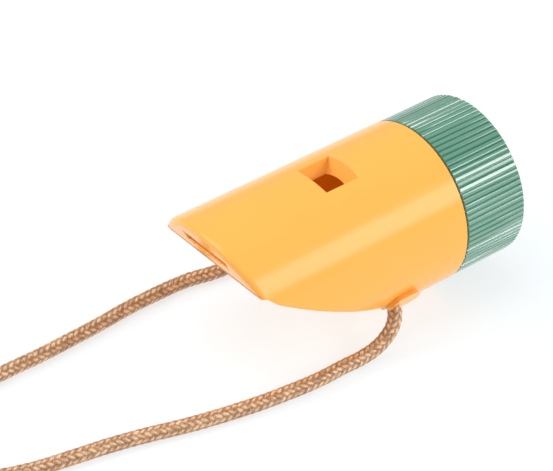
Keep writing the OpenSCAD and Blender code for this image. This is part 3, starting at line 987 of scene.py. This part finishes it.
@dataclass
class Barrel:
    """The barrel and the block that closes its windway, as glossy mouldings."""

    paint: Paint
    tip_h: float = 7.5 * MM
    tip_lean: float = 25.0
    belly_bow: float = 0.3 * MM
    heel_l: float = 7.6 * MM
    window_l: float = 7.0 * MM
    window_w: float = 7.8 * MM
    window_inset: float = 0.85 * MM
    window_front_inset: float = 0.8 * MM
    ramp_l: float = 1.3 * MM
    mouth_w: float = 10.8 * MM
    mouth_h: float = 1.8 * MM
    mouth_drop: float = 3.4 * MM
    flue_h: float = 0.9 * MM
    tunnel_w: float = 5.4 * MM
    tunnel_h: float = 3.2 * MM
    tunnel_lug: float = 0.8 * MM
    run_gap: float = 0.06 * MM
    seat_gap: float = 0.03 * MM
    tip_round: float = 1.4 * MM
    tip_round_low: float = 0.8 * MM
    low_from: float = 0.15
    nose_from: float = 185.0
    corner_share: float = 0.3
    upright_l: float = 14.0 * MM
    rear_l: float = 3.0 * MM
    bore_sides: int = 128
    slot_points: int = 48
    arc_points: int = 14
    belly_points: int = 21
    back_points: int = 13
    top_step: int = 3
    top_end: int = 30
    side_points: int = 24
    corner_points: int = 4
    sharp: float = 35.0
    beside: float = 0.3 * MM
    rim_deep: float = 1.6 * MM
    near_wall: float = 0.05 * MM
    inner_wall: float = 0.1 * MM
    above_bore: float = 0.2 * MM
    wall_gap: float = 0.015 * MM
    near: float = 0.02 * MM
    window_rim: float = 0.2 * MM
    slot_rim: float = 0.25 * MM
    belly_round: float = 0.6 * MM
    seam_round: float = 0.15 * MM
    mouth_flare: float = 0.25 * MM
    ramp_deep: float = 1.6 * MM
    past: float = 1.0 * MM

    def __post_init__(self) -> None:
        """Read the places from the CAD nodes' boxes."""
        low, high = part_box("barrel")
        self.tip_x, self.seam_x = low.x, high.x
        self.radius, self.top = high.y, high.z
        self.axis_z = high.z - high.y
        piston_low, piston_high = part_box("piston")
        self.bore_r = piston_high.y + self.run_gap
        self.bore_z = (piston_low.z + piston_high.z) / 2
        self.bore_top = self.bore_z + self.bore_r
        block_low, block_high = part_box("windway_block")
        self.pocket = (block_low.x - self.seat_gap, block_high.x)
        self.pocket_half = block_high.y + self.seat_gap
        self.hole = cord_hole()
        self.seam_scale = 1 - self.seam_round / self.radius

    def build(self) -> None:
        """Make the barrel and its block."""
        self.barrel()
        self.block()

    def outline(self) -> list[tuple[float, float]]:
        """Return the underside's line in X and Z, from the tip along the belly to the heel."""
        lean = math.tan(math.radians(self.tip_lean))
        low_z = self.top - self.tip_h
        tip_low = np.array((self.tip_x + self.tip_h * lean, low_z))
        nose = np.array((self.hole.x - (self.tunnel_w - self.tunnel_h) / 2, self.hole.z))
        reach = self.tunnel_h / 2 + self.tunnel_lug
        heel = np.array((self.seam_x - self.heel_l, 0.0))
        away = heel - nose
        start = math.radians(self.nose_from)
        end = 2 * math.pi + math.atan2(away[1], away[0]) - math.acos(reach / np.linalg.norm(away))
        arc = [nose + reach * np.array((math.cos(a), math.sin(a)))
               for a in np.linspace(start, end, self.arc_points)]
        way = arc[0] - tip_low
        out = np.array((way[1], -way[0])) / np.linalg.norm(way)
        belly = [tip_low + way * t + out * self.belly_bow * 4 * t * (1 - t)
                 for t in np.linspace(0.0, 1.0, self.belly_points)[2:-1]]
        back = [arc[-1] + (heel - arc[-1]) * (1 - (1 - t) ** 2)
                for t in np.linspace(0.0, 1.0, self.back_points)[1:]]
        return [tuple(place) for place in (tip_low, *belly, *arc, *back)]

    def blank(self, name: str) -> Piece:
        """Return the barrel's outer shape with rounded edges and no holes."""
        line = self.outline()
        low = line[0]
        rings = [self.ring(low, self.tip_lean, share) for share in (0.0, 0.2, 0.4, 0.6, 0.8, 1.0)]
        upright = low[0] + self.upright_l
        for place in line[1:]:
            fade = max(0.0, (upright - place[0]) / (upright - low[0]))
            rings.append(self.ring(place, self.tip_lean * fade, 1.0, 0.0))
        for x in (self.seam_x - self.rear_l, self.seam_x - self.seam_round):
            rings.append(self.ring((x, 0.0), 0.0, 1.0, 0.0))
        rings.append([(self.seam_x, y * self.seam_scale, self.axis_z + (z - self.axis_z)
                       * self.seam_scale) for _, y, z in rings[-1]])
        piece = Workbench.loft(name, rings)
        Workbench.clean(piece, 0.002 * MM)
        return piece

    def ring(self, low: tuple[float, float], lean: float, share: float,
             shift: float = 1.0) -> list[Point]:
        """Return a cross-section of the outer shape, through a point of its underside.

        Args:
            low: The underside's place along X and height.
            lean: How far the section leans forward at its top, in degrees.
            share: How far it is along the tip's rounding, from 0 at the tip's face to 1.
            shift: 1 in the tip's rounding, which shifts along X, and 0 behind it.

        Returns:
            The section's points, once around from the middle of the top.
        """
        radius, floor = self.radius, max(low[1], 0.0)
        edge = math.acos(max(-1.0, (floor - self.axis_z) / radius))
        half = radius * math.sin(edge)
        corner = min(self.belly_round, self.corner_share * half)
        last = edge - corner / radius
        still = [math.radians(a) for a in range(0, self.top_end + 1, self.top_step)]
        count = self.side_points
        spread = [still[-1] + (last - still[-1]) * i / count for i in range(1, count + 1)]
        points = []
        for angle in still + spread:
            reach = self.tip_round if angle < last - self.low_from else self.tip_round_low + (
                self.tip_round - self.tip_round_low) * (last - angle) / self.low_from
            inset = reach * (1 - share) ** 2
            points.append(((radius - inset) * math.sin(angle),
                           self.axis_z + (radius - inset) * math.cos(angle), reach))
        first = Vector((radius * math.sin(last), self.axis_z + radius * math.cos(last)))
        reach = self.tip_round_low
        inset = reach * (1 - share) ** 2
        for i in range(1, self.corner_points + 1):
            t = i / self.corner_points
            place = (first * (1 - t) ** 2 + Vector((half, floor)) * 2 * t * (1 - t)
                     + Vector((half - corner, floor)) * t * t)
            out = Vector((math.sin(last) * (1 - t), math.cos(last) * (1 - t) - t)).normalized()
            place = place - out * inset
            points.append((place.x, place.y, reach))
        slope = math.tan(math.radians(lean))
        side = [(low[0] - (z - low[1]) * slope + reach * share**2 * shift, y, z)
                for y, z, reach in points]
        return side + [(x, -y, z) for x, y, z in reversed(side[1:])]

    def windway(self) -> Piece:
        """Return a cutter for the tapered air channel."""
        flue_half = self.window_w / 2 - self.window_inset
        start, end = self.tip_x - self.past, self.pocket[1] + self.past
        cutter = Workbench.block("windway", (start, -1.0, 0.0), (end, 1.0, 1.0))
        for vertex in cutter.data.vertices:
            share = (vertex.co.x - self.tip_x) / (self.pocket[1] - self.tip_x)
            half = self.mouth_w / 2 * (1 - share) + flue_half * share
            top = (self.top - self.mouth_drop) * (1 - share) + (self.bore_top - self.seat_gap) * share
            height = self.mouth_h * (1 - share) + self.flue_h * share
            vertex.co.y = math.copysign(half, vertex.co.y)
            vertex.co.z = top if vertex.co.z > 0.5 else top - height
        return cutter

    def window(self) -> Piece:
        """Return a cutter for the window, with sloped walls and the ramp behind it."""
        flue_x = self.pocket[1]
        rim_x = flue_x - self.window_front_inset
        ramp_x = rim_x + self.window_l - self.ramp_l
        half = self.window_w / 2 - self.window_inset
        tall = self.top - self.bore_top
        rings = []
        for z in (self.bore_top - self.ramp_deep, self.bore_top, self.top + self.past):
            rise = (z - self.bore_top) / tall
            front = flue_x - self.window_front_inset * max(rise, 0.0)
            wide = half + self.window_inset * rise
            rear = ramp_x + self.ramp_l * rise
            rings.append([(front, -wide, z), (rear, -wide, z), (rear, wide, z), (front, wide, z)])
        return Workbench.loft("window", rings)

    def tunnel(self) -> Piece:
        """Return a cutter for the cord's tunnel, a slot with round ends and flared mouths."""
        flare = self.mouth_flare
        steps = [(-self.past, flare)]
        for degrees in range(0, 91, 15):
            turned = math.radians(degrees)
            steps.append((flare * (1 - math.cos(turned)), flare * (1 - math.sin(turned))))
        halves = [self.tunnel_ring(depth, grow, 1.0) for depth, grow in steps]
        others = [self.tunnel_ring(depth, grow, -1.0) for depth, grow in reversed(steps)]
        return Workbench.loft("tunnel", halves + others)

    def tunnel_ring(self, depth: float, grow: float, side: float) -> list[Point]:
        """Return the slot's outline on one side, at a depth under the barrel's wall, grown."""
        ends = (self.tunnel_w - self.tunnel_h) / 2
        radius = self.tunnel_h / 2 + grow
        ring = []
        for i in range(self.slot_points):
            turn = 2 * math.pi * (i + 0.5) / self.slot_points
            x = self.hole.x + math.copysign(ends, math.cos(turn)) + radius * math.cos(turn)
            z = self.hole.z + radius * math.sin(turn)
            wall = math.sqrt(self.radius**2 - (z - self.axis_z) ** 2)
            ring.append((x, side * (wall - depth), z))
        return ring

    def pocket_cutter(self, gap: float) -> Piece:
        """Return a cutter for the block's pocket, or for the block itself with a gap."""
        def floor(x: float) -> float:
            share = (x - self.tip_x) / (self.pocket[1] - self.tip_x)
            mouth = self.top - self.mouth_drop - self.mouth_h
            return mouth * (1 - share) + (self.bore_top - self.seat_gap - self.flue_h) * share
        start, end = self.pocket[0] + gap, self.pocket[1]
        outline = [(start, -self.past), (end, -self.past), (end, floor(end)), (start, floor(start))]
        half = self.pocket_half - gap
        return Workbench.loft("pocket", [[(x, y, z) for x, z in outline] for y in (-half, half)])

    def barrel(self) -> None:
        """Make the barrel with all its holes."""
        piece = self.blank("barrel_moulded")
        bore = Workbench.cylinder("bore", self.pocket[1], self.seam_x + self.past, self.bore_r,
                                  self.bore_z, self.bore_sides)
        for cutter in (bore, self.window(), self.windway(), self.pocket_cutter(0.0), self.tunnel()):
            Workbench.combine(piece, cutter, Cut.TAKE_AWAY)
        Workbench.clean(piece)
        Workbench.round_edges(piece, self.slot_rim, 3, self.rim_share)
        Workbench.smooth(piece)
        Workbench.true_normals(piece, self.radius, self.axis_z, self.wall_gap)
        Workbench.finish(piece, Body.WHISTLE, Slot.YELLOW, self.paint.yellow, self.paint.bore)
        # Faces inside the bore take the bore's copy of the yellow, with its painted shade and painted
        # glow.
        for face in piece.data.polygons:
            middle = face.center
            depth = math.hypot(middle.y, middle.z - self.bore_z)
            inside = middle.x > self.pocket[1] - 0.01 * MM and depth < self.bore_r + self.near
            face.material_index = int(inside)
        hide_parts("barrel")

    def rim_share(self, a: Vector, b: Vector, angle: float) -> float:
        """Return how much the rim of a hole is rounded, as a share of the widest rounding."""
        if angle < self.sharp:
            return 0.0
        middle = (a + b) / 2
        outward = math.hypot(middle.y, middle.z - self.axis_z)
        if outward < self.radius - self.inner_wall and middle.z > self.bore_top - self.above_bore:
            return 0.0
        rim_x = self.pocket[1] - self.window_front_inset
        near_window = rim_x - self.beside < middle.x < rim_x + self.window_l + self.beside
        on_wall = outward > self.radius - self.near_wall
        if near_window and middle.z > self.top - self.rim_deep and on_wall:
            return self.window_rim / self.slot_rim
        lean = math.tan(math.radians(self.tip_lean))
        on_face = max(abs(p.x - self.tip_x - (self.top - p.z) * lean) for p in (a, b)) < self.near
        across = abs(middle.y) < self.mouth_w / 2 + self.near_wall
        up = abs(middle.z - self.top + self.mouth_drop) < self.mouth_h + self.near_wall
        if on_face and across and up:
            return 1.0
        return 0.0

    def block(self) -> None:
        """Make the windway's block, flush with the belly."""
        piece = self.blank("windway_block_moulded")
        Workbench.combine(piece, self.pocket_cutter(self.seat_gap), Cut.KEEP_COMMON)
        Workbench.clean(piece)
        Workbench.smooth(piece)
        Workbench.true_normals(piece, self.radius, self.axis_z, self.wall_gap)
        Workbench.finish(piece, Body.WHISTLE, Slot.YELLOW, self.paint.yellow)
        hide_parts("windway_block")


# ---- cap ----


@dataclass
class Cap:
    """The ribbed tuning cap and the disc in its end."""

    paint: Paint
    ribs: int = 90
    rib_h: float = 0.35 * MM
    rib_phases: tuple[float, ...] = (0.03, 0.12, 0.20, 0.36, 0.64, 0.80, 0.88, 0.97)
    rib_drops: tuple[float, ...] = (1.0, 0.50, 0.10, 0.0, 0.0, 0.10, 0.50, 1.0)
    rim_round: float = 0.3 * MM
    front_round: float = 0.1 * MM
    wall: float = 3.08 * MM
    end_wall: float = 3.3 * MM
    skirt: float = 1.05 * MM
    skirt_deep: float = 1.0 * MM
    head_pocket: float = 2.63 * MM
    head_deep: float = 1.29 * MM
    screw_gap: float = 0.06 * MM
    shaft_share: float = 0.577
    seat_gap: float = 0.03 * MM
    ring_gap: float = 0.25 * MM
    lip: float = 0.15 * MM
    lip_deep: float = 0.12 * MM
    disc_round: float = 0.12 * MM
    disc_sides: int = 128
    dish = ((1.6 * MM, 0.0), (0.25 * MM, -0.25 * MM), (4.6 * MM, 0.0))

    def __post_init__(self) -> None:
        """Read the places from the CAD nodes' boxes."""
        low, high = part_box("tuning_cap")
        self.front, self.rear = low.x, high.x
        self.axis_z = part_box("barrel")[1].z / 2
        self.radius = high.y
        disc_low, disc_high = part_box("cap_end_disc")
        self.disc_r = disc_high.y
        self.disc_front, self.disc_rear = disc_low.x, disc_high.x

    def build(self) -> None:
        """Make the cap and its disc."""
        self.cap()
        self.disc()

    def cap(self) -> None:
        """Make the ribbed shell, hollow inside and open at its screw."""
        sides = self.ribs * len(self.rib_phases)
        piece = Workbench.cylinder("tuning_cap_moulded", self.front + self.front_round,
                                   self.rear - self.rim_round, self.radius, self.axis_z, sides)
        self.shape_ring(piece.data.vertices, self.radius)
        for degrees in range(18, 91, 18):
            drop = 1 - math.cos(math.radians(degrees))
            rest = 1 - math.sin(math.radians(degrees))
            self.ring(piece, 1, self.rear - self.rim_round * rest,
                      self.radius - self.rim_round * drop)
        for x, radius in self.rear_steps():
            self.ring(piece, 1, x, radius)
        for x, radius in self.front_steps():
            self.ring(piece, -1, x, radius)
        Workbench.select_faces(piece, lambda face: len(face.vertices) > 4)
        bpy.ops.mesh.delete(type="ONLY_FACE")
        bpy.ops.mesh.select_mode(type="EDGE")
        bpy.ops.mesh.select_all(action="DESELECT")
        bpy.ops.mesh.select_non_manifold()
        bpy.ops.mesh.bridge_edge_loops()
        Workbench.mode("OBJECT")
        Workbench.clean(piece)
        Workbench.smooth(piece, 40)
        Workbench.finish(piece, Body.CAP, Slot.GREEN, self.paint.green)
        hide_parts("tuning_cap")

    def rear_steps(self) -> list[tuple[float, float]]:
        """Return places along X and radii, from the rear rim in to the screw's head."""
        seat = self.disc_front - self.seat_gap
        head = seat - self.head_deep
        shaft = self.screw_radius()
        return [(self.rear, self.disc_r + self.lip),
                (self.rear - self.lip_deep, self.disc_r + self.seat_gap),
                (seat, self.disc_r + self.seat_gap), (seat, self.head_pocket),
                (head, self.head_pocket), (head, shaft)]

    def front_steps(self) -> list[tuple[float, float]]:
        """Return places along X and radii, from the front rim in to the end wall."""
        ring_low, ring_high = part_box("retaining_ring")
        bore = self.radius - self.wall
        groove = ring_high.y + self.ring_gap
        skirt = self.radius - self.rib_h - self.skirt
        inner = self.rear - self.end_wall
        low, high = ring_low.x - self.ring_gap, ring_high.x + self.ring_gap
        shaft = self.screw_radius()
        return [(self.front, self.radius - self.rib_h - self.front_round),
                (self.front, skirt), (self.front + self.skirt_deep, skirt),
                (self.front + self.skirt_deep, bore), (low, bore), (low, groove),
                (high, groove), (high, bore), (inner, bore), (inner, shaft)]

    def screw_radius(self) -> float:
        """Return the radius of the hole for the screw's shaft, from the whole screw's box."""
        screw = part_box("lead_screw")
        return self.shaft_share * (screw[1].y - screw[0].y) / 2 + self.screw_gap

    def ring(self, piece: Piece, way: int, x: float, radius: float) -> None:
        """Extrude the many-sided end face that looks to one way, to a place and a radius."""
        Workbench.select_faces(
            piece, lambda face: len(face.vertices) > 4 and face.normal.x * way > 0)
        Workbench.extrude()
        moved = [v for v in piece.data.vertices if v.select]
        for vertex in moved:
            vertex.co.x = x
        self.shape_ring(moved, radius)

    def shape_ring(self, vertices: Iterable[bpy.types.MeshVertex], radius: float) -> None:
        """Move points around the axis to the ribs' outline, or to a radius where that is less."""
        each = len(self.rib_phases)
        sides = self.ribs * each
        for vertex in vertices:
            angle = math.atan2(vertex.co.y, vertex.co.z - self.axis_z)
            number = round(angle / (2 * math.pi) * sides - 0.5) % sides
            rib, part = divmod(number, each)
            reach = min(radius, self.radius - self.rib_h * self.rib_drops[part])
            turned = 2 * math.pi * (rib + self.rib_phases[part]) / self.ribs
            vertex.co.y = reach * math.sin(turned)
            vertex.co.z = self.axis_z + reach * math.cos(turned)

    def disc(self) -> None:
        """Make the end disc with a soft rim and a shallow dish."""
        piece = Workbench.cylinder("cap_end_disc_moulded", self.disc_front, self.disc_rear,
                                   self.disc_r, self.axis_z, self.disc_sides)
        for inset, push in self.dish:
            Workbench.select_faces(piece, lambda face: face.normal.x > 0.9
                                   and (face.center - Vector((face.center.x, 0, self.axis_z))).length
                                   < 0.01 * MM)
            bpy.ops.mesh.inset(thickness=inset, depth=push)
            Workbench.mode("OBJECT")
        Workbench.modify(piece, "BEVEL", width=self.disc_round, segments=3,
                         angle_limit=math.radians(30))
        Workbench.smooth(piece)
        Workbench.finish(piece, Body.CAP, Slot.GREEN, self.paint.green)
        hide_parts("cap_end_disc")


# ---- inner pieces ----


@dataclass
class InnerParts:
    """The CAD nodes that stay as they are and take a finish."""

    paint: Paint

    def build(self) -> None:
        """Dress each kept node."""
        finishes = [
            (self.paint.natural, ["rear_collar"]),
            (self.paint.amber, ["piston"]),
            (self.paint.steel, ["collar_screws", "retaining_ring", "thrust_washer", "lead_screw"]),
            (self.paint.seal, ["friction_ring", "piston_seal"]),
        ]
        for paint, names in finishes:
            for name in names:
                node = frame["nodes"][name]
                node.data.materials.clear()
                node.data.materials.append(paint)
                log.info("%s: CAD node with %s", name, paint.name)


def main() -> None:
    """Build the whole scene around the frame."""
    logging.basicConfig(level=logging.INFO, format="%(name)s: %(message)s")
    Studio().build()
    paint = Paint()
    NeckCord(Braid(), paint).build()
    Barrel(paint).build()
    Cap(paint).build()
    InnerParts(paint).build()
    Workbench.deselect()


if __name__ == "__main__":
    main()
